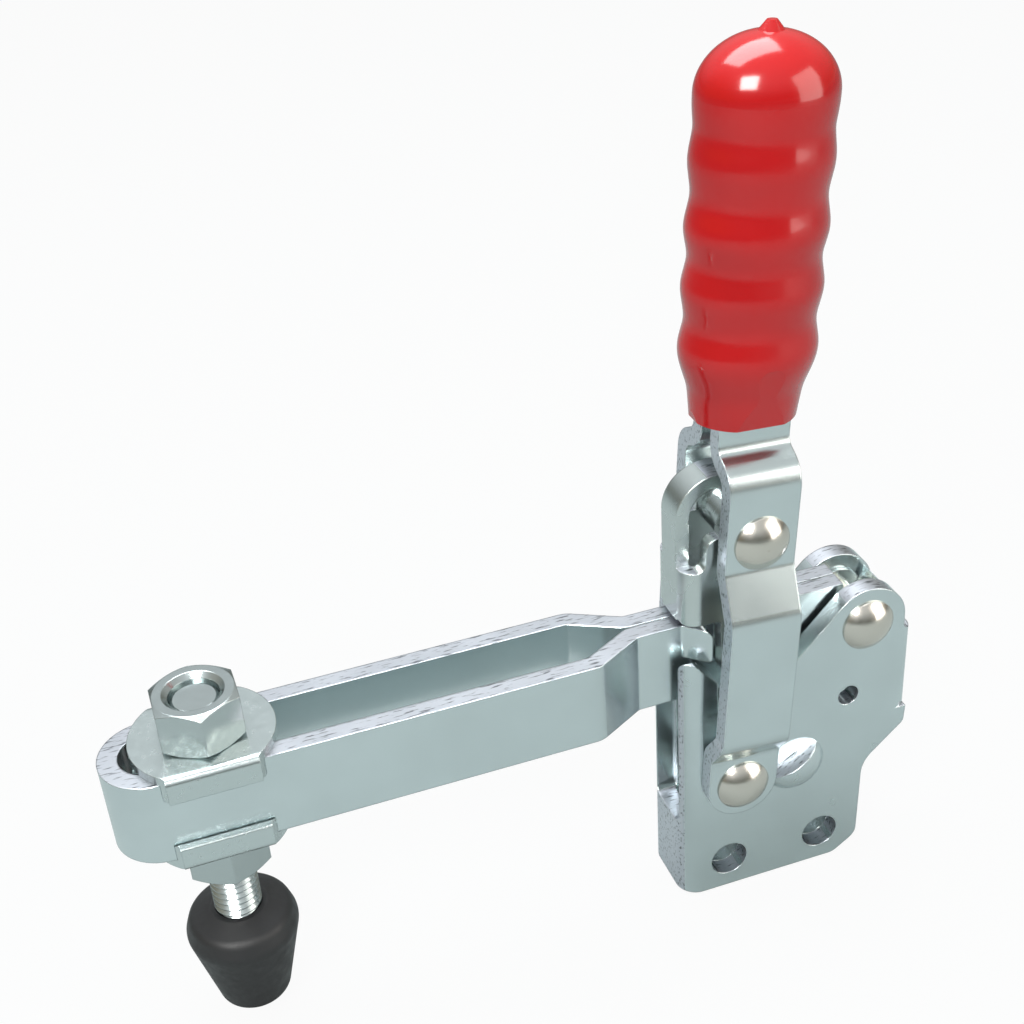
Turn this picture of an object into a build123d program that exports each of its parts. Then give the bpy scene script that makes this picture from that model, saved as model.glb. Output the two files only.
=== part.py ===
from build123d import *
import math
import os

# Toggle clamp with an upright handle, a straight base and a U-shaped bar, in its closed pose.
# All sizes are in mm. X runs along the bar with the spindle towards -X, Z is up, and the
# shapes are built about the handle pivot and moved at the end, so that the origin lies
# midway between the two mounting holes on the +Y side face of the base.

# Clearances
PLATE_GAP = 0.1          # flat plates that slide on each other
PIN_GAP = 0.05           # radial gap of a rivet in its hole
SEAT_GAP = 0.05          # pieces clamped together
MOULD_GAP = 0.02         # grip on the handle plates

# Pivots, seen from the side
REAR_PIVOT = (24.9, 25.1)
HANDLE_LEAN = 3.4        # degrees that the closed handle leans to the rear
LINK_PIVOT_UP = 49.5     # along the handle, from the handle pivot
BAR_PIVOT_UP = 24.0      # along the same line: the toggle is closed when the three lie on it

# Base: one folded sheet, two cheeks joined by a front web
BASE_SHEET = 3.4
BASE_WIDTH = 15.0
BASE_BEND = 0.4          # inside bend radius
BASE_FRONT = -9.9
BASE_BOTTOM = -26.6
BASE_REAR = 25.2
BASE_SHOULDER = 34.4
LOBE_R = 7.3             # round end of the cheek about the rear pivot
EAR_TOP = 26.4
WEB_TOP = -10.5          # upper edge of the front web
LIP = 2.6                # inward lip left above the web
NOTCH_FRONT = -3.2       # notch for the fork of the bar
NOTCH_REAR = 5.2
NOTCH_FLOOR = 12.3
NOTCH_SLOPE = 46.5       # degrees, of the edge from the notch up to the lobe
MOUNT_HOLE_D = 7.0
MOUNT_SPACING = 18.4
MOUNT_X = -0.9
MOUNT_Z = -20.2
SMALL_HOLE_D = 4.0
SMALL_HOLE_AT = (21.9, 10.6)
STOP_AT = (11.9, -1.7)   # handle stop: a round pressed half outwards and half inwards
STOP_R = 5.6
STOP_HEIGHT = 2.8
STOP_DIP = 0.9
STOP_SLOPE = 29.5        # degrees, of its sheared edge
STOP_CUT_UP = 1.3        # sheared edge above the centre
SPACER_R = 5.2           # tube between the cheeks at each mounting hole
TAB_TOP = 21.4
TAB_BOTTOM = 4.5
TAB_REACH = 2.6

# Rivets
RIVET_R = 2.6
HEAD_R = 4.8
HEAD_H = 2.4
HEAD_RIM = 0.3           # straight edge under the dome
BAR_RIVET_R = 2.4
BAR_HEAD_R = 3.6
BAR_HEAD_H = 1.5

# Handle plates
HANDLE_SHEET = 3.0
HANDLE_HALF = 6.2
HANDLE_END_R = 6.5
HANDLE_BEND = 2.2
LOWER_OUT = 14.0         # outer face from the mid plane, lower flat
UPPER_OUT = 9.9          # outer face at the link pivot
TANG_OUT = 4.6           # outer face inside the grip
JOGGLE_LOW = 7.0
JOGGLE_HIGH = 11.6
STEP_LOW = 36.3
STEP_HIGH = 44.3
FLARE_LOW = 60.8
FLARE_HIGH = 63.3
TANG_TOP = 117.0

# Grip
GRIP_BOTTOM = 68.4
GRIP_TOP = 128.0
NIPPLE_H = 2.2
NIPPLE_R = 2.6
GRIP_DEPTH_RATIO = 0.82
COLLAR_WIDE = 8.6        # half sizes of the grip's lower end
COLLAR_DEEP = 6.4
COLLAR_H = 11.0
COLLAR_OPEN = 14.0       # degrees that the collar opens upwards

# Link: folded channel with a hood over its upper pivot
LINK_SHEET = 2.4
LINK_HALF = 6.0          # the legs stand outside the neck of the bar
LINK_BEND = 0.8          # inside bend radius
LINK_FRONT = -8.95
LINK_WEB_BOTTOM = 33.0
LINK_EYE_R = 5.4
LINK_FOOT_R = 3.6
LINK_LEG_FRONT = -5.0    # front edge of the legs beside the relief
HOOD_HALF = 2.75         # the hood is narrower than the channel by its bends
HOOD_TOP = 59.3
HOOD_R = 7.2
HOOD_END = 2.5
RELIEF_LOW = 43.5

# U-bar: one strip folded round the spindle end
BAR_SHEET = 3.2
BAR_WIDTH = 16.4
BAR_TOP = 31.9
BAR_HEIGHT = 15.3
BAR_TIP = -104.8
SLOT_END = -25.2         # where the arms start to close in
NECK_START = -16.6
ARM_GAP = 0.2
WING_START = -7.4        # upper parts of the arms are bent out here, in front of the link
WING_END = -4.2
WING_LOW = 25.5
WING_BLANK_END = -2.3    # rear end of the cut that frees the wings
BAR_EYE_R = 6.6          # round rear end about the rear pivot
SEAT_FRONT = 2.8         # the rear rivet's seat opens upwards between these walls
SEAT_REAR = (2.95, 4.8, 5.2)

# Spindle group
SPINDLE_X = -88.2
THREAD_D = 8.0
THREAD_PITCH = 1.25
NUT_FLATS = 13.0
NUT_H = 8.0
WASHER_SHEET = 1.6
WASHER_R = 11.6
WASHER_LIP = 3.2
WASHER_SIDE = 0.15       # washer lip to the side of the bar
SPINDLE_TOP_DROP = 1.3   # spindle end below the top of the nut
TIP_TOP = -3.4
TIP_HEIGHT = 20.4
TIP_TOP_R = 9.6
TIP_BOTTOM_R = 5.9
TIP_COLLAR_R = 4.8
TIP_SHOULDER = 1.7       # drop of the domed top from the spindle to its rim

BASE_INNER = BASE_WIDTH / 2 - BASE_SHEET
BASE_OUTER = BASE_WIDTH / 2
LINK_INNER = LINK_HALF - LINK_SHEET
NECK_OUTER = ARM_GAP / 2 + BAR_SHEET
SLOT_HALF = BAR_WIDTH / 2 - BAR_SHEET
BAR_BOTTOM = BAR_TOP - BAR_HEIGHT
HANDLE_INNER = BASE_OUTER + PLATE_GAP
HANDLE_OUTER = HANDLE_INNER + HANDLE_SHEET
UPPER_INNER = UPPER_OUT - HANDLE_SHEET
LEAN = math.radians(HANDLE_LEAN)


def along_handle(distance):
    return (distance * math.sin(LEAN), distance * math.cos(LEAN))


HANDLE_PIVOT = (0.0, 0.0)
LINK_PIVOT = along_handle(LINK_PIVOT_UP)
BAR_PIVOT = along_handle(BAR_PIVOT_UP)


def outline(corners):
    """A closed face; each corner is (u, v, radius)."""
    count = len(corners)
    parts = []
    for i in range(count):
        here = Vector(corners[i][0], corners[i][1])
        before = Vector(*corners[i - 1][:2])
        after = Vector(*corners[(i + 1) % count][:2])
        radius = corners[i][2]
        if radius == 0:
            parts.append((here, None, here))
            continue
        back = (before - here).normalized()
        ahead = (after - here).normalized()
        half = math.radians(back.get_angle(ahead)) / 2
        reach = radius / math.tan(half)
        inward = (back + ahead).normalized()
        nearest = here + inward * (radius / math.sin(half) - radius)
        parts.append((here + back * reach, nearest, here + ahead * reach))
    edges = []
    for i in range(count):
        start, middle, end = parts[i]
        if middle is not None:
            edges.append(ThreePointArc(start, middle, end))
        follow = parts[(i + 1) % count][0]
        if (follow - end).length > 1e-5:
            edges.append(Line(end, follow))
    return make_face(edges)


def side_slab(face, low, high):
    """A face drawn in X and Z, made solid from Y = low to Y = high."""
    return extrude(Plane.XZ.offset(-high) * face, amount=high - low)


def plan_slab(face, low, high):
    """A face drawn in X and Y, made solid from Z = low to Z = high."""
    return extrude(Plane.XY.offset(low) * face, amount=high - low)


def front_slab(face, low, high):
    """A face drawn in Y and Z, made solid from X = low to X = high."""
    return extrude(Plane.YZ.offset(low) * face, amount=high - low)


def bent_strip(path, thickness, inner_radius):
    """Outline of a strip of even thickness about a centre line with bends."""
    left = []
    right = []
    count = len(path)
    for i in range(count):
        here = Vector(*path[i])
        if i == 0:
            ahead = (Vector(*path[1]) - here).normalized()
            normal = Vector(-ahead.Y, ahead.X)
            bend = 0
            scale = 1
        elif i == count - 1:
            ahead = (here - Vector(*path[i - 1])).normalized()
            normal = Vector(-ahead.Y, ahead.X)
            bend = 0
            scale = 1
        else:
            came = (here - Vector(*path[i - 1])).normalized()
            goes = (Vector(*path[i + 1]) - here).normalized()
            total = (Vector(-came.Y, came.X) + Vector(-goes.Y, goes.X)).normalized()
            normal = total
            scale = 1 / total.dot(Vector(-came.Y, came.X))
            bend = came.X * goes.Y - came.Y * goes.X
        inner = inner_radius
        outer = inner_radius + thickness
        left_radius = 0 if bend == 0 else (inner if bend > 0 else outer)
        right_radius = 0 if bend == 0 else (outer if bend > 0 else inner)
        offset = normal * (thickness / 2 * scale)
        left.append((here.X + offset.X, here.Y + offset.Y, left_radius))
        right.append((here.X - offset.X, here.Y - offset.Y, right_radius))
    return outline(left + right[::-1])


def pin(at, radius, low, high):
    """A round bar along Y through a point of the side view."""
    return side_slab(Pos(at[0], at[1]) * Circle(radius), low, high)


def mirrored(shape):
    return mirror(shape, Plane.XZ)


def dome(at, face, radius, height):
    """A domed rivet head that sits on the plane Y = face and points towards -Y."""
    rise = height - HEAD_RIM
    ball = (radius * radius + rise * rise) / (2 * rise)
    half_turn = math.asin(radius / ball) / 2
    middle = (ball * math.sin(half_turn), height - ball + ball * math.cos(half_turn))
    profile = make_face([
        Line((0, 0), (radius, 0)),
        Line((radius, 0), (radius, HEAD_RIM)),
        ThreePointArc((radius, HEAD_RIM), middle, (0, height)),
        Line((0, height), (0, 0)),
    ])
    head = revolve(Plane.XZ * profile, Axis.Z)
    return Pos(at[0], face, at[1]) * Rot(X=90) * head


def rivet(at, shaft_radius, reach, head_radius, head_height):
    """A rivet with a domed head on both ends, reach from the mid plane."""
    body = pin(at, shaft_radius, -reach - 0.2, reach + 0.2)
    head = dome(at, -reach, head_radius, head_height)
    return body + head + mirrored(head)


def cheek_outline():
    """Side view of a base cheek: a plate with a notch for the bar and a round rear lobe."""
    ax, az = REAR_PIVOT
    slope = math.radians(NOTCH_SLOPE)
    touch_x = ax - LOBE_R * math.sin(slope)
    touch_z = az + LOBE_R * math.cos(slope)
    fall_z = touch_z - (touch_x - NOTCH_REAR) * math.tan(slope)
    plate = outline([
        (BASE_FRONT, BASE_BOTTOM, 0),
        (BASE_FRONT, EAR_TOP - 1.0, 0),
        (-8.0, EAR_TOP, 1.2),
        (NOTCH_FRONT - 0.3, 21.4, 0.8),
        (NOTCH_FRONT, NOTCH_FLOOR, 2.4),
        (NOTCH_REAR, NOTCH_FLOOR, 2.0),
        (NOTCH_REAR, fall_z, 2.0),
        (touch_x, touch_z, 0),
        (ax, az, 0),
        (ax + LOBE_R, az, 0),
        (ax + LOBE_R, 22.4, 1.0),
        (BASE_SHOULDER, 20.8, 0.6),
        (BASE_SHOULDER, 14.0, 20.0),
        (33.6, 1.0, 1.6),
        (25.6, -6.2, 6.0),
        (BASE_REAR, -23.4, 3.0),
        (20.6, BASE_BOTTOM, 3.0),
    ])
    return plate + Pos(ax, az) * Circle(LOBE_R)


def stop_cap(depth, outward):
    """Half of a spherical cap on the cheek's outer plane, cut along the sheared edge."""
    ball = (STOP_R * STOP_R + depth * depth) / (2 * depth)
    side = -1 if outward else 1
    centre = Pos(STOP_AT[0], -BASE_OUTER + side * (depth - ball), STOP_AT[1])
    shift = STOP_CUT_UP + (-20 if outward else 20)
    half_face = Pos(*STOP_AT) * Rot(Z=STOP_SLOPE) * Pos(0, shift) * Rectangle(40, 40)
    reach = side_slab(half_face, -20, -BASE_OUTER) if outward else side_slab(half_face, -BASE_OUTER, 20)
    return centre * Sphere(ball) & reach


def base_frame():
    """Cheeks and front web from one folded sheet, with lips, rear tabs, holes and dimples."""
    silhouette = side_slab(cheek_outline(), -BASE_OUTER, BASE_OUTER)
    outer_bend = BASE_BEND + BASE_SHEET
    plan = outline([
        (60, -BASE_OUTER, 0),
        (BASE_FRONT, -BASE_OUTER, outer_bend),
        (BASE_FRONT, BASE_OUTER, outer_bend),
        (60, BASE_OUTER, 0),
        (60, BASE_INNER, 0),
        (BASE_FRONT + BASE_SHEET, BASE_INNER, BASE_BEND),
        (BASE_FRONT + BASE_SHEET, -BASE_INNER, BASE_BEND),
        (60, -BASE_INNER, 0),
    ])
    channel = plan_slab(plan, BASE_BOTTOM - 1, 60)
    body = silhouette & channel
    # the window above the web leaves an inward lip on each cheek, rounded at its top
    window_half = BASE_OUTER - LIP
    above = BASE_OUTER + 5
    window = front_slab(
        outline([
            (-window_half, WEB_TOP, 2.0),
            (window_half, WEB_TOP, 2.0),
            (window_half, EAR_TOP, LIP - 0.05),
            (above, EAR_TOP, 0),
            (above, 60, 0),
            (-above, 60, 0),
            (-above, EAR_TOP, 0),
            (-window_half, EAR_TOP, LIP - 0.05),
        ]),
        BASE_FRONT - 1,
        BASE_FRONT + outer_bend,
    )
    body -= window
    # rear tabs bent inwards behind the shoulder
    tab_plan = outline([
        (BASE_SHOULDER - 6.0, -BASE_OUTER, 0),
        (BASE_SHOULDER, -BASE_OUTER, 3.0),
        (BASE_SHOULDER, -BASE_INNER + TAB_REACH, 0),
        (BASE_SHOULDER - 2.6, -BASE_INNER + TAB_REACH, 0),
        (BASE_SHOULDER - 2.6, -BASE_INNER, 0.4),
        (BASE_SHOULDER - 6.0, -BASE_INNER, 0),
    ])
    tab = plan_slab(tab_plan, TAB_BOTTOM, TAB_TOP)
    trim = plan_slab(
        Pos(BASE_SHOULDER - 1.5, -BASE_OUTER + 1.5) * Rectangle(3.0, 3.0)
        - Pos(BASE_SHOULDER - 3.0, -BASE_OUTER + 3.0) * Circle(3.0),
        TAB_BOTTOM,
        60,
    )
    body = body + tab + mirrored(tab)
    body = body - trim - mirrored(trim)
    # handle stops: each cheek is sheared and pressed both ways, at even thickness
    raised = stop_cap(STOP_HEIGHT, True)
    sunk = stop_cap(STOP_DIP, False)
    through = Pos(0, BASE_SHEET, 0)
    body = body + raised + mirrored(raised) - sunk - mirrored(sunk)
    hollow = through * raised
    inner_bump = through * sunk
    body = body - hollow - mirrored(hollow) + inner_bump + mirrored(inner_bump)
    # holes through both cheeks
    for at, radius in (
        (HANDLE_PIVOT, RIVET_R + PIN_GAP),
        (REAR_PIVOT, RIVET_R + PIN_GAP),
        ((MOUNT_X, MOUNT_Z), MOUNT_HOLE_D / 2),
        ((MOUNT_X + MOUNT_SPACING, MOUNT_Z), MOUNT_HOLE_D / 2),
        (SMALL_HOLE_AT, SMALL_HOLE_D / 2),
    ):
        body -= pin(at, radius, -BASE_OUTER - 1, BASE_OUTER + 1)
    return body


def handle_plate():
    """The near plate, built upright about the handle pivot with joggles in its height."""
    half = HANDLE_SHEET / 2
    path = [
        (-(HANDLE_INNER + half), -HANDLE_END_R - 1),
        (-(HANDLE_INNER + half), JOGGLE_LOW),
        (-(LOWER_OUT - half), JOGGLE_HIGH),
        (-(LOWER_OUT - half), STEP_LOW),
        (-(UPPER_OUT - half), STEP_HIGH),
        (-(UPPER_OUT - half), FLARE_LOW),
        (-(TANG_OUT - half), FLARE_HIGH),
        (-(TANG_OUT - half), TANG_TOP),
    ]
    strip = front_slab(bent_strip(path, HANDLE_SHEET, HANDLE_BEND), -20, 20)
    blank = outline([
        (-HANDLE_END_R, -HANDLE_END_R, HANDLE_END_R - 0.05),
        (-HANDLE_END_R, JOGGLE_HIGH, 0.6),
        (-HANDLE_HALF, JOGGLE_HIGH + 1.0, 0.6),
        (-HANDLE_HALF, TANG_TOP, 3.0),
        (HANDLE_HALF, TANG_TOP, 3.0),
        (HANDLE_HALF, JOGGLE_HIGH + 1.0, 3.0),
        (HANDLE_END_R, JOGGLE_LOW, 3.0),
        (HANDLE_END_R, -HANDLE_END_R, HANDLE_END_R - 0.05),
    ])
    plate = strip & side_slab(blank, -40, 0)
    plate -= pin((0, 0), RIVET_R + PIN_GAP, -40, 0)
    plate -= pin((0, LINK_PIVOT_UP), RIVET_R + PIN_GAP, -40, 0)
    return plate


# half widths of the grip along its height, with four finger hollows
GRIP_RINGS = [
    (0.0, 8.8), (2.6, 9.1), (5.2, 9.5), (8.2, 10.5), (12.0, 11.2), (16.3, 10.5), (21.8, 11.2),
    (26.4, 10.5), (30.9, 11.2), (35.9, 10.5), (41.2, 11.1), (45.6, 10.6), (50.8, 10.9),
]


def grip():
    """Moulded grip with finger hollows, a collar and a domed end with a nipple."""
    height = GRIP_TOP - GRIP_BOTTOM
    wall = Spline([(half, up) for up, half in GRIP_RINGS], tangents=[(0.1, 1), (0, 1)])
    shoulder_up, shoulder = GRIP_RINGS[-1][0], GRIP_RINGS[-1][1]
    rise = height - shoulder_up
    profile = make_face([
        Line((0, 0), (GRIP_RINGS[0][1], 0)),
        wall,
        EllipticalCenterArc((0, shoulder_up), shoulder, rise, start_angle=0, arc_size=90),
        Line((0, height), (0, 0)),
    ])
    body = revolve(Plane.XZ * profile, Axis.Z)
    body += Pos(0, 0, height - 0.9) * Cone(
        NIPPLE_R, 0.8, NIPPLE_H, align=(Align.CENTER, Align.CENTER, Align.MIN))
    body = scale(body, by=(1, GRIP_DEPTH_RATIO, 1))
    # the collar is nearly a rounded rectangle and opens out into the round grip
    collar = extrude(RectangleRounded(2 * COLLAR_WIDE, 2 * COLLAR_DEEP, 3.4),
                     amount=COLLAR_H, taper=-COLLAR_OPEN)
    below = Pos(0, 0, COLLAR_H / 2) * Box(60, 60, COLLAR_H)
    body = (body & collar) + (body - below)
    return Pos(0, 0, GRIP_BOTTOM) * body


def link():
    """Folded channel: front web, two legs with eyes, and a hood curved over the upper pivot."""
    dx, dz = LINK_PIVOT
    cx, cz = BAR_PIVOT
    bend = LINK_BEND + LINK_SHEET
    rear = dx + LINK_EYE_R
    hood = outline([
        (LINK_FRONT, LINK_WEB_BOTTOM, 0),
        (LINK_FRONT, HOOD_TOP, HOOD_R),
        (HOOD_END, HOOD_TOP, 0.4),
        (HOOD_END, HOOD_TOP - LINK_SHEET, 0.4),
        (LINK_FRONT + LINK_SHEET, HOOD_TOP - LINK_SHEET, HOOD_R - LINK_SHEET),
        (LINK_FRONT + LINK_SHEET, LINK_WEB_BOTTOM, 0),
    ])
    legs = outline([
        (LINK_FRONT, LINK_WEB_BOTTOM, 1.0),
        (LINK_FRONT, RELIEF_LOW, 0),
        (LINK_LEG_FRONT, RELIEF_LOW, 1.8),
        (LINK_LEG_FRONT, dz, 2.0),
        (dx, dz, 0),
        (rear, dz, 0),
        (rear, dz - 7.0, 4.0),
        (cx + LINK_FOOT_R, dz - 11.0, 3.0),
        (cx + LINK_FOOT_R, cz, 0),
        (cx - LINK_FOOT_R, cz, 0),
        (cx - LINK_FOOT_R, LINK_WEB_BOTTOM, 1.0),
    ])
    legs = legs + Pos(dx, dz) * Circle(LINK_EYE_R) + Pos(cx, cz) * Circle(LINK_FOOT_R)
    plan = outline([
        (40, -LINK_HALF, 0),
        (LINK_FRONT, -LINK_HALF, bend),
        (LINK_FRONT, LINK_HALF, bend),
        (40, LINK_HALF, 0),
        (40, LINK_HALF - LINK_SHEET, 0),
        (LINK_FRONT + LINK_SHEET, LINK_HALF - LINK_SHEET, LINK_BEND),
        (LINK_FRONT + LINK_SHEET, -LINK_HALF + LINK_SHEET, LINK_BEND),
        (40, -LINK_HALF + LINK_SHEET, 0),
    ])
    channel = plan_slab(plan, 0, 80) & side_slab(legs, -LINK_HALF, LINK_HALF)
    body = channel + side_slab(hood, -HOOD_HALF, HOOD_HALF)
    body -= pin(LINK_PIVOT, RIVET_R + PIN_GAP, -LINK_HALF - 1, LINK_HALF + 1)
    body -= pin(BAR_PIVOT, BAR_RIVET_R + PIN_GAP, -LINK_HALF - 1, LINK_HALF + 1)
    return body


def wing():
    """The near arm's upper part in front of the link, bent outwards."""
    neck = NECK_OUTER - BAR_SHEET / 2
    spread = WING_END - WING_START + 4
    strip = bent_strip([
        (WING_START - 4, -neck),
        (WING_START, -neck),
        (WING_START + spread, -neck - spread),
    ], BAR_SHEET, 0.8)
    side = outline([
        (WING_START - 3, WING_LOW, 0),
        (WING_START - 3, BAR_TOP, 0),
        (WING_END, BAR_TOP, 1.4),
        (WING_END, WING_LOW, 1.0),
    ])
    return plan_slab(strip, WING_LOW - 1, BAR_TOP + 1) & side_slab(side, -20, 20)


def u_bar():
    """One strip folded round the spindle end; the arms close to a neck between the link's legs."""
    half = BAR_SHEET / 2
    wide = BAR_WIDTH / 2 - half
    neck = NECK_OUTER - half
    ax, az = REAR_PIVOT
    near = [
        (ax + BAR_EYE_R + 1, -neck),
        (NECK_START, -neck),
        (SLOT_END, -wide),
        (BAR_TIP + 30, -wide),
    ]
    arm = bent_strip(near, BAR_SHEET, 0.8)
    arm_solid = plan_slab(arm, BAR_BOTTOM - 20, BAR_TOP)
    centre = BAR_TIP + BAR_WIDTH / 2
    loop = (
        Pos(centre, 0) * Circle(BAR_WIDTH / 2)
        + Pos((centre + BAR_TIP + 31) / 2, 0) * Rectangle(BAR_TIP + 31 - centre, BAR_WIDTH)
        - Pos(centre, 0) * Circle(SLOT_HALF)
        - Pos((centre + BAR_TIP + 32) / 2, 0) * Rectangle(BAR_TIP + 32 - centre, 2 * SLOT_HALF)
    )
    body = plan_slab(loop, BAR_BOTTOM - 20, BAR_TOP) + arm_solid + mirrored(arm_solid)
    side = outline([
        (BAR_TIP - 5, BAR_BOTTOM, 0),
        (BAR_TIP - 5, BAR_TOP, 0),
        (ax + BAR_EYE_R, BAR_TOP, BAR_EYE_R - 0.1),
        (ax + BAR_EYE_R, az - BAR_EYE_R, BAR_EYE_R - 0.1),
        (ax - 2.0, az - BAR_EYE_R, 2.0),
        (ax - 9.0, BAR_BOTTOM, 4.0),
    ])
    body = body & side_slab(side, -20, 20)
    blank = outline([
        (WING_START, WING_LOW, 0),
        (WING_START, BAR_TOP + 5, 0),
        (WING_BLANK_END, BAR_TOP + 5, 0),
        (WING_BLANK_END, WING_LOW, 1.0),
    ])
    body = body - side_slab(blank, -20, 20) + wing() + mirrored(wing())
    body -= pin(BAR_PIVOT, BAR_RIVET_R + PIN_GAP, -20, 20)
    # the rear rivet's seat is open above, where the bar leaves the rivet part of the way
    leave = outline([
        (ax - SEAT_FRONT, az, 0),
        (ax - SEAT_FRONT, az + 20, 0),
        (ax + SEAT_REAR[2], az + 20, 0),
        (ax + SEAT_REAR[2], az + 8.0, 0),
        (ax + SEAT_REAR[1], az + 3.2, 0),
        (ax + SEAT_REAR[0], az, 0),
        (ax + SEAT_REAR[0] - 0.6, az - 1.6, 0),
        (ax, az, 0),
    ])
    body -= side_slab(Pos(ax, az) * Circle(RIVET_R + PIN_GAP) + leave, -20, 20)
    return body


def flanged_washer():
    """Round plate on the bar with two edges folded along the bar's sides, seat at Z = 0."""
    flank = BAR_WIDTH / 2 + WASHER_SIDE
    outer = flank + WASHER_SHEET
    section = outline([
        (-outer, -WASHER_LIP, 0.4),
        (-outer, WASHER_SHEET, WASHER_SHEET * 0.9),
        (outer, WASHER_SHEET, WASHER_SHEET * 0.9),
        (outer, -WASHER_LIP, 0.4),
        (flank, -WASHER_LIP, 0.4),
        (flank, 0, 0),
        (-flank, 0, 0),
        (-flank, -WASHER_LIP, 0.4),
    ])
    folded = front_slab(section, -20, 20)
    blank = plan_slab(Circle(WASHER_R), -10, 10)
    lips = plan_slab(Rectangle(14.5, 2 * outer + 1), -10, 10)
    keep = blank + lips
    washer = folded & keep
    washer -= plan_slab(Circle(THREAD_D / 2 + 0.25), -10, 10)
    return washer


def hex_nut():
    """Nut with both ends chamfered, seat at Z = 0."""
    body = plan_slab(RegularPolygon(NUT_FLATS / 2, 6, major_radius=False, rotation=30), 0, NUT_H)
    reach = NUT_FLATS / math.sqrt(3)
    drop = (reach - NUT_FLATS / 2 * 0.97) * math.tan(math.radians(30))
    crown = make_face(Polyline(
        (0, 0), (NUT_FLATS / 2 * 0.97, 0), (reach + 0.02, drop), (reach + 0.02, NUT_H - drop),
        (NUT_FLATS / 2 * 0.97, NUT_H), (0, NUT_H), close=True))
    body = body & revolve(Plane.XZ * crown, Axis.Z)
    bore = plan_slab(Circle(THREAD_D / 2 + 0.04), -1, NUT_H + 1)
    sink = Pos(0, 0, NUT_H - 0.8) * Cone(
        THREAD_D / 2 + 0.04, THREAD_D / 2 + 0.9, 0.8,
        align=(Align.CENTER, Align.CENTER, Align.MIN))
    return body - bore - sink


def spindle(low, high):
    """Threaded rod with ring grooves for the thread and chamfered ends."""
    radius = THREAD_D / 2
    depth = THREAD_PITCH * 0.5
    points = [(0, low), (radius - depth, low), (radius, low + 0.8)]
    z = low + 1.2
    while z + THREAD_PITCH < high - 1.2:
        points += [
            (radius, z),
            (radius - depth, z + THREAD_PITCH * 0.5),
            (radius, z + THREAD_PITCH * 0.88),
        ]
        z += THREAD_PITCH
    points += [(radius, high - 0.8), (radius - depth, high), (0, high)]
    profile = make_face(Polyline(*points, close=True))
    return revolve(Plane.XZ * profile, Axis.Z)


def rubber_tip():
    """Tapered rubber tip moulded round the lower end of the spindle."""
    low = TIP_TOP - TIP_HEIGHT
    profile = outline([
        (0, TIP_TOP, 0),
        (TIP_COLLAR_R, TIP_TOP, 0.6),
        (TIP_TOP_R - 1.0, TIP_TOP - TIP_SHOULDER, 2.0),
        (TIP_TOP_R, TIP_TOP - TIP_SHOULDER - 3.0, 3.0),
        (TIP_BOTTOM_R, low, 2.0),
        (0, low, 0),
    ])
    return revolve(Plane.XZ * profile, Axis.Z)


def ring(at, inner, outer, low, high):
    return pin(at, outer, low, high) - pin(at, inner, low, high)


def lean(shape):
    return Rot(Y=HANDLE_LEAN) * shape


def save(name, shape):
    shift = Pos(-(MOUNT_X + MOUNT_SPACING / 2), -BASE_OUTER, -MOUNT_Z)
    moved = shift * shape
    moved.label = name
    export_step(moved, os.path.join("parts", name + ".step"))


os.makedirs("parts", exist_ok=True)

plate = lean(handle_plate())
grip_body = lean(grip())
tang = plate + mirrored(plate)

save("base_frame", base_frame())
save("handle_plate_left", plate)
save("handle_plate_right", mirrored(plate))
save("grip", grip_body - tang)
save("toggle_link", link())
save("u_bar", u_bar())

save("handle_rivet", rivet(HANDLE_PIVOT, RIVET_R, HANDLE_OUTER + SEAT_GAP, HEAD_R, HEAD_H))
save("rear_rivet", rivet(REAR_PIVOT, RIVET_R, BASE_OUTER, HEAD_R, HEAD_H))
save("link_rivet", rivet(LINK_PIVOT, RIVET_R, UPPER_OUT, HEAD_R, HEAD_H))
save("bar_rivet", rivet(BAR_PIVOT, BAR_RIVET_R, LINK_HALF + SEAT_GAP, BAR_HEAD_R, BAR_HEAD_H))

bush_bore = RIVET_R + PIN_GAP
save("handle_spacer", ring(HANDLE_PIVOT, bush_bore, 4.8,
                           -BASE_INNER + SEAT_GAP, BASE_INNER - SEAT_GAP))
for side, mount_x in (("front", MOUNT_X), ("rear", MOUNT_X + MOUNT_SPACING)):
    save("mount_spacer_" + side, ring((mount_x, MOUNT_Z), MOUNT_HOLE_D / 2, SPACER_R,
                                      -BASE_INNER + SEAT_GAP, BASE_INNER - SEAT_GAP))
rear_washer = ring(REAR_PIVOT, bush_bore, 4.6, -BASE_INNER + SEAT_GAP, -NECK_OUTER - PLATE_GAP)
save("rear_washer_left", rear_washer)
save("rear_washer_right", mirrored(rear_washer))
save("link_spacer", ring(LINK_PIVOT, bush_bore, 4.4,
                         -LINK_INNER + SEAT_GAP, LINK_INNER - SEAT_GAP))
side_spacer = ring(LINK_PIVOT, bush_bore, 5.2,
                   -UPPER_INNER + SEAT_GAP, -LINK_HALF - PLATE_GAP)
save("link_washer_left", side_spacer)
save("link_washer_right", mirrored(side_spacer))

at_spindle = Pos(SPINDLE_X, 0, 0)
washer_seat = BAR_TOP + SEAT_GAP
top_washer = Pos(0, 0, washer_seat) * flanged_washer()
bottom_washer = Pos(0, 0, BAR_BOTTOM - SEAT_GAP) * Rot(X=180) * flanged_washer()
nut_seat = washer_seat + WASHER_SHEET + SEAT_GAP
low_nut_seat = BAR_BOTTOM - 2 * SEAT_GAP - WASHER_SHEET
save("top_washer", at_spindle * top_washer)
save("bottom_washer", at_spindle * bottom_washer)
save("top_nut", at_spindle * Pos(0, 0, nut_seat) * hex_nut())
save("bottom_nut", at_spindle * Pos(0, 0, low_nut_seat) * Rot(X=180) * hex_nut())

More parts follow.
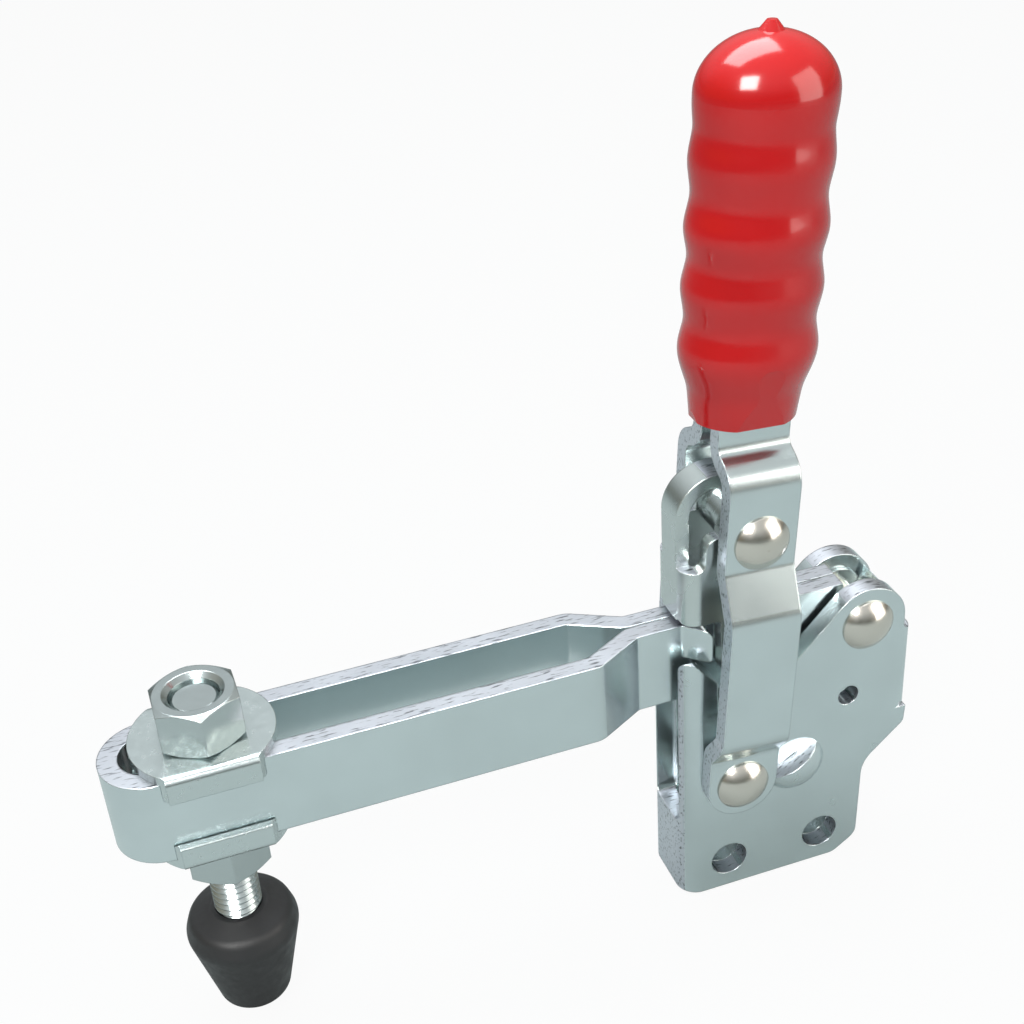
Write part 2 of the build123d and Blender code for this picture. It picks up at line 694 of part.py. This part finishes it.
rod = spindle(TIP_TOP - TIP_HEIGHT + 6.0, nut_seat + NUT_H - SPINDLE_TOP_DROP)
save("spindle", at_spindle * rod)
socket = plan_slab(Circle(THREAD_D / 2 + MOULD_GAP), TIP_TOP - TIP_HEIGHT + 6.0 - MOULD_GAP, TIP_TOP + 1)
save("rubber_tip", at_spindle * (rubber_tip() - socket))
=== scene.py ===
import math

import bpy
from mathutils import Euler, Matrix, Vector


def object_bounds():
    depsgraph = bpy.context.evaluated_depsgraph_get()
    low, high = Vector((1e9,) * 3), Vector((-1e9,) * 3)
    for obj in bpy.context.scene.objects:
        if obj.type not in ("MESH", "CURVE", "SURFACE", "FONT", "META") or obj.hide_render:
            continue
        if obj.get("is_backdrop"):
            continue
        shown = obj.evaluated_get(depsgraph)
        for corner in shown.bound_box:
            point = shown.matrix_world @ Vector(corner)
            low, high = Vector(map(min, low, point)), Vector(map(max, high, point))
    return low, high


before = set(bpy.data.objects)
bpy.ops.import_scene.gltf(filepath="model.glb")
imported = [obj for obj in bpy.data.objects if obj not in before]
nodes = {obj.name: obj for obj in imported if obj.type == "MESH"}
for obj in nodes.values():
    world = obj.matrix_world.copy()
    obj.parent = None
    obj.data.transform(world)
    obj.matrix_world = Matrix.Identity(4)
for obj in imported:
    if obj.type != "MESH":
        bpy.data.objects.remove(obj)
low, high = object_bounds()

# The frame's origin lies midway between the mounting holes, on the side face. Metres.
MID_Y = -0.0075
FLOOR_HALF = 4.0
FLOOR_GAP = 0.0005

# Share of plain white in what the camera sees of the floor. The rest keeps the shadow.
FLOOR_WHITE = 0.94
FLOOR_TINT = (0.26, 0.29, 0.29, 1)
WHITE = (1, 1, 1, 1)

# Radii of the rounded edges that the shading shows.
SHEET_ROUNDING = 0.00035
METAL_ROUNDING = 0.0002

# Linear base colours.
STEEL = (0.66, 0.73, 0.74, 1)
LINK_STEEL = (0.62, 0.67, 0.66, 1)
WASHER_STEEL = (0.58, 0.64, 0.64, 1)
RIVET_STEEL = (0.66, 0.62, 0.56, 1)
NUT_STEEL = (0.50, 0.55, 0.55, 1)
SHEARED_DARK = (0.20, 0.21, 0.23, 1)
SHEARED_LIGHT = (0.62, 0.64, 0.69, 1)
RED_LIGHT = (0.36, 0.004, 0.005, 1)
RED_DARK = (0.31, 0.003, 0.004, 1)
RUBBER = (0.012, 0.012, 0.013, 1)
WARM_RIGHT = (0.34, 0.29, 0.20, 1)
WARM_LEFT = (0.30, 0.25, 0.15, 1)

# The studio's light by height: 0 is straight down, 0.5 the horizon, 1 straight up.
STUDIO_LEVELS = (
    (0.0, (0.40, 0.45, 0.46, 1)),
    (0.30, (0.45, 0.50, 0.51, 1)),
    (0.47, (0.34, 0.38, 0.38, 1)),
    (0.53, (0.14, 0.15, 0.135, 1)),
    (0.62, (0.34, 0.37, 0.37, 1)),
    (0.76, (0.66, 0.70, 0.71, 1)),
    (1.0, (0.80, 0.84, 0.85, 1)),
)


class Graph:
    """Builds a node tree with short calls."""

    def __init__(self, tree):
        self.tree = tree
        tree.nodes.clear()

    def add(self, kind, settings=None, **inputs):
        node = self.tree.nodes.new(kind)
        for key, value in (settings or {}).items():
            setattr(node, key, value)
        for key, value in inputs.items():
            self.put(node, key, value)
        return node

    def put(self, node, key, value):
        """Links or sets an input, found by its name, or by its number as in i0."""
        numbered = key[0] == "i" and key[1:].isdigit()
        socket = node.inputs[int(key[1:])] if numbered else node.inputs[key]
        if isinstance(value, bpy.types.NodeSocket):
            self.tree.links.new(value, socket)
        else:
            socket.default_value = value

    def math(self, operation, first, second=0.0):
        node = self.add("ShaderNodeMath", {"operation": operation})
        self.put(node, "i0", first)
        self.put(node, "i1", second)
        return node.outputs[0]

    def blend(self, factor, first, second):
        node = self.add("ShaderNodeMix", {"data_type": "RGBA"})
        self.put(node, "i0", factor)
        self.put(node, "i6", first)
        self.put(node, "i7", second)
        return node.outputs[2]

    def span(self, value, low_in, high_in, low_out=0.0, high_out=1.0):
        node = self.add("ShaderNodeMapRange")
        for index, part in enumerate((value, low_in, high_in, low_out, high_out)):
            self.put(node, "i%d" % index, part)
        return node.outputs[0]

    def noise(self, scale, detail=2.0, stretch=(1, 1, 1)):
        place = self.add("ShaderNodeTexCoord").outputs["Object"]
        mapping = self.add("ShaderNodeMapping")
        self.put(mapping, "Vector", place)
        self.put(mapping, "Scale", stretch)
        node = self.add("ShaderNodeTexNoise")
        self.put(node, "Vector", mapping.outputs[0])
        self.put(node, "Scale", scale)
        self.put(node, "Detail", detail)
        return node.outputs["Fac"]


def new_material(name):
    material = bpy.data.materials.new(name)
    material.use_nodes = True
    return material, Graph(material.node_tree)


def surface(graph, shader):
    out = graph.add("ShaderNodeOutputMaterial")
    graph.put(out, "Surface", shader.outputs[0])


def sheet_metal(name, tint, rough, edge_axis, edge_level):
    """Zinc-plated sheet: satin faces, and scratched grey sheared edges where the
    face's normal lies along one of edge_axis."""
    material, graph = new_material(name)
    normal = graph.add("ShaderNodeNewGeometry").outputs["Normal"]
    split = graph.add("ShaderNodeSeparateXYZ", i0=normal).outputs
    parts = [graph.math("ABSOLUTE", split[axis]) for axis in edge_axis]
    strength = parts[0]
    for part in parts[1:]:
        strength = graph.math("MAXIMUM", strength, part)
    edge = graph.math("GREATER_THAN", strength, edge_level)
    cloud = graph.noise(90.0, 4.0)
    grain = graph.noise(2600.0, 3.0)
    streak = graph.noise(1500.0, 5.0, (0.25, 1.6, 1.0))
    dimmed = [channel * 0.93 for channel in tint[:3]] + [1]
    plain = graph.blend(graph.span(cloud, 0.3, 0.7), tint, dimmed)
    sheared = graph.blend(graph.span(streak, 0.34, 0.44), SHEARED_DARK, SHEARED_LIGHT)
    colour = graph.blend(edge, plain, sheared)
    roughness = graph.math("ADD", graph.span(cloud, 0.2, 0.8, rough - 0.04, rough + 0.05),
                           graph.math("MULTIPLY", edge, 0.10))
    bump = graph.add("ShaderNodeBump", Strength=0.12, Distance=0.00006, Height=grain)
    rounding = graph.add("ShaderNodeBevel", {"samples": 6}, Radius=SHEET_ROUNDING)
    graph.put(bump, "Normal", rounding.outputs[0])
    shader = graph.add("ShaderNodeBsdfPrincipled", Metallic=1.0, Roughness=roughness,
                       Normal=bump.outputs[0])
    graph.put(shader, "Base Color", colour)
    surface(graph, shader)
    return material


def bright_metal(name, tint, rough, grain_scale=900.0):
    material, graph = new_material(name)
    cloud = graph.noise(grain_scale, 3.0)
    bump = graph.add("ShaderNodeBump", Strength=0.05, Distance=0.00005, Height=cloud)
    rounding = graph.add("ShaderNodeBevel", {"samples": 4}, Radius=METAL_ROUNDING)
    graph.put(bump, "Normal", rounding.outputs[0])
    shader = graph.add("ShaderNodeBsdfPrincipled", Metallic=1.0, Normal=bump.outputs[0],
                       Roughness=graph.span(cloud, 0.3, 0.7, rough - 0.03, rough + 0.04))
    graph.put(shader, "Base Color", tint)
    surface(graph, shader)
    return material


def glossy_red():
    material, graph = new_material("grip_red")
    cloud = graph.noise(60.0, 2.0)
    bump = graph.add("ShaderNodeBump", Strength=0.10, Distance=0.0004, Height=cloud)
    shader = graph.add("ShaderNodeBsdfPrincipled", Roughness=0.16, Normal=bump.outputs[0])
    graph.put(shader, "Base Color", graph.blend(graph.span(cloud, 0.3, 0.7), RED_LIGHT, RED_DARK))
    graph.put(shader, "Coat Weight", 0.25)
    graph.put(shader, "Coat Roughness", 0.06)
    surface(graph, shader)
    return material


def black_rubber():
    material, graph = new_material("black_rubber")
    cloud = graph.noise(500.0, 4.0)
    bump = graph.add("ShaderNodeBump", Strength=0.2, Distance=0.0001, Height=cloud)
    shader = graph.add("ShaderNodeBsdfPrincipled", Normal=bump.outputs[0],
                       Roughness=graph.span(cloud, 0.3, 0.7, 0.42, 0.6))
    graph.put(shader, "Base Color", RUBBER)
    surface(graph, shader)
    return material


plate_steel = sheet_metal("plate_steel", STEEL, 0.24, (0, 2), 0.80)
bar_steel = sheet_metal("bar_steel", STEEL, 0.22, (2,), 0.90)
handle_steel = sheet_metal("handle_steel", STEEL, 0.22, (0,), 0.80)
link_steel = sheet_metal("link_steel", LINK_STEEL, 0.26, (2,), 0.98)
washer_steel = bright_metal("washer_steel", WASHER_STEEL, 0.24)
rivet_steel = bright_metal("rivet_steel", RIVET_STEEL, 0.20)
bright_steel = bright_metal("bright_steel", NUT_STEEL, 0.20)
red = glossy_red()
rubber = black_rubber()

FINISH = {
    "base_frame": plate_steel,
    "u_bar": bar_steel,
    "handle_plate_left": handle_steel,
    "handle_plate_right": handle_steel,
    "toggle_link": link_steel,
    "top_washer": washer_steel,
    "bottom_washer": washer_steel,
    "top_nut": bright_steel,
    "bottom_nut": bright_steel,
    "spindle": bright_steel,
    "grip": red,
    "rubber_tip": rubber,
}
for name, node in nodes.items():
    finish = FINISH.get(name)
    if finish is None:
        finish = rivet_steel if name.endswith("rivet") else washer_steel
    node.data.materials.clear()
    node.data.materials.append(finish)


def area_light(name, place, target, size, power, colour):
    data = bpy.data.lights.new(name, "AREA")
    data.shape = "RECTANGLE"
    data.size, data.size_y = size
    data.energy = power
    data.color = colour
    light = bpy.data.objects.new(name, data)
    light.location = place
    aim = Vector(target) - Vector(place)
    light.rotation_euler = aim.to_track_quat("-Z", "Y").to_euler()
    bpy.context.scene.collection.objects.link(light)


def build_world():
    """A studio: bright above, a dark band near the horizon, warm at both ends along X."""
    world = bpy.data.worlds.new("studio")
    bpy.context.scene.world = world
    world.use_nodes = True
    graph = Graph(world.node_tree)
    ray = graph.add("ShaderNodeLightPath").outputs
    direction = graph.add("ShaderNodeTexCoord").outputs["Generated"]
    split = graph.add("ShaderNodeSeparateXYZ", i0=direction).outputs
    ramp = graph.add("ShaderNodeValToRGB", Fac=graph.span(split[2], -1.0, 1.0))
    stops = ramp.color_ramp.elements
    stops[0].position, stops[0].color = STUDIO_LEVELS[0]
    stops[1].position, stops[1].color = STUDIO_LEVELS[-1]
    for place, colour in STUDIO_LEVELS[1:-1]:
        stop = stops.new(place)
        stop.color = colour
    warm = graph.blend(0.35, ramp.outputs[0], WARM_RIGHT)
    right = graph.blend(graph.span(split[0], 0.1, 0.9), ramp.outputs[0], warm)
    room = graph.blend(graph.span(split[0], -0.62, -0.95, 0.0, 0.75), right, WARM_LEFT)
    light = graph.add("ShaderNodeBackground", Color=room, Strength=1.0)
    white = graph.add("ShaderNodeBackground", Color=WHITE, Strength=1.0)
    mix = graph.add("ShaderNodeMixShader")
    graph.put(mix, "i0", ray["Is Camera Ray"])
    graph.put(mix, "i1", light.outputs[0])
    graph.put(mix, "i2", white.outputs[0])
    out = graph.add("ShaderNodeOutputWorld")
    graph.put(out, "Surface", mix.outputs[0])


def build_floor(height):
    """A pale floor that the camera sees as nearly white, with the clamp's soft shadow."""
    mesh = bpy.data.meshes.new("floor")
    signs = ((-1, -1), (1, -1), (1, 1), (-1, 1))
    corners = [(x * FLOOR_HALF, y * FLOOR_HALF, height) for x, y in signs]
    mesh.from_pydata(corners, [], [(0, 1, 2, 3)])
    material, graph = new_material("pale_floor")
    ray = graph.add("ShaderNodeLightPath").outputs
    diffuse = graph.add("ShaderNodeBsdfDiffuse", Color=FLOOR_TINT)
    white = graph.add("ShaderNodeEmission", Color=WHITE, Strength=1.0)
    mix = graph.add("ShaderNodeMixShader")
    graph.put(mix, "i0", graph.math("MULTIPLY", ray["Is Camera Ray"], FLOOR_WHITE))
    graph.put(mix, "i1", diffuse.outputs[0])
    graph.put(mix, "i2", white.outputs[0])
    surface(graph, mix)
    mesh.materials.append(material)
    floor = bpy.data.objects.new("floor", mesh)
    bpy.context.scene.collection.objects.link(floor)
    floor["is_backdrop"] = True


build_world()
build_floor(low[2] - FLOOR_GAP)
centre = (-0.04, MID_Y, 0.04)
area_light("key", (-0.35, -0.45, 0.55), centre, (0.30, 0.30), 6.0, (1.0, 0.99, 0.97))
area_light("fill", (0.45, -0.40, 0.25), centre, (0.4, 0.5), 2.0, (1.0, 0.96, 0.9))
area_light("top", (-0.05, 0.15, 0.7), centre, (0.6, 0.4), 6.0, (0.95, 0.98, 1.0))

# The camera stands where the photograph's stood.
camera_data = bpy.data.cameras.new("camera")
camera_data.sensor_width = 36.0
camera_data.lens = 55.16
camera_data.clip_start = 0.01
camera = bpy.data.objects.new("camera", camera_data)
camera.location = (-0.10323, -0.20491, 0.20887)
camera.rotation_euler = Euler([math.radians(a) for a in (57.9196, 3.6450, -19.1161)], "XYZ")
bpy.context.scene.collection.objects.link(camera)
bpy.context.scene.camera = camera
bpy.context.scene.view_settings.view_transform = "Standard"

low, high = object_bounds()
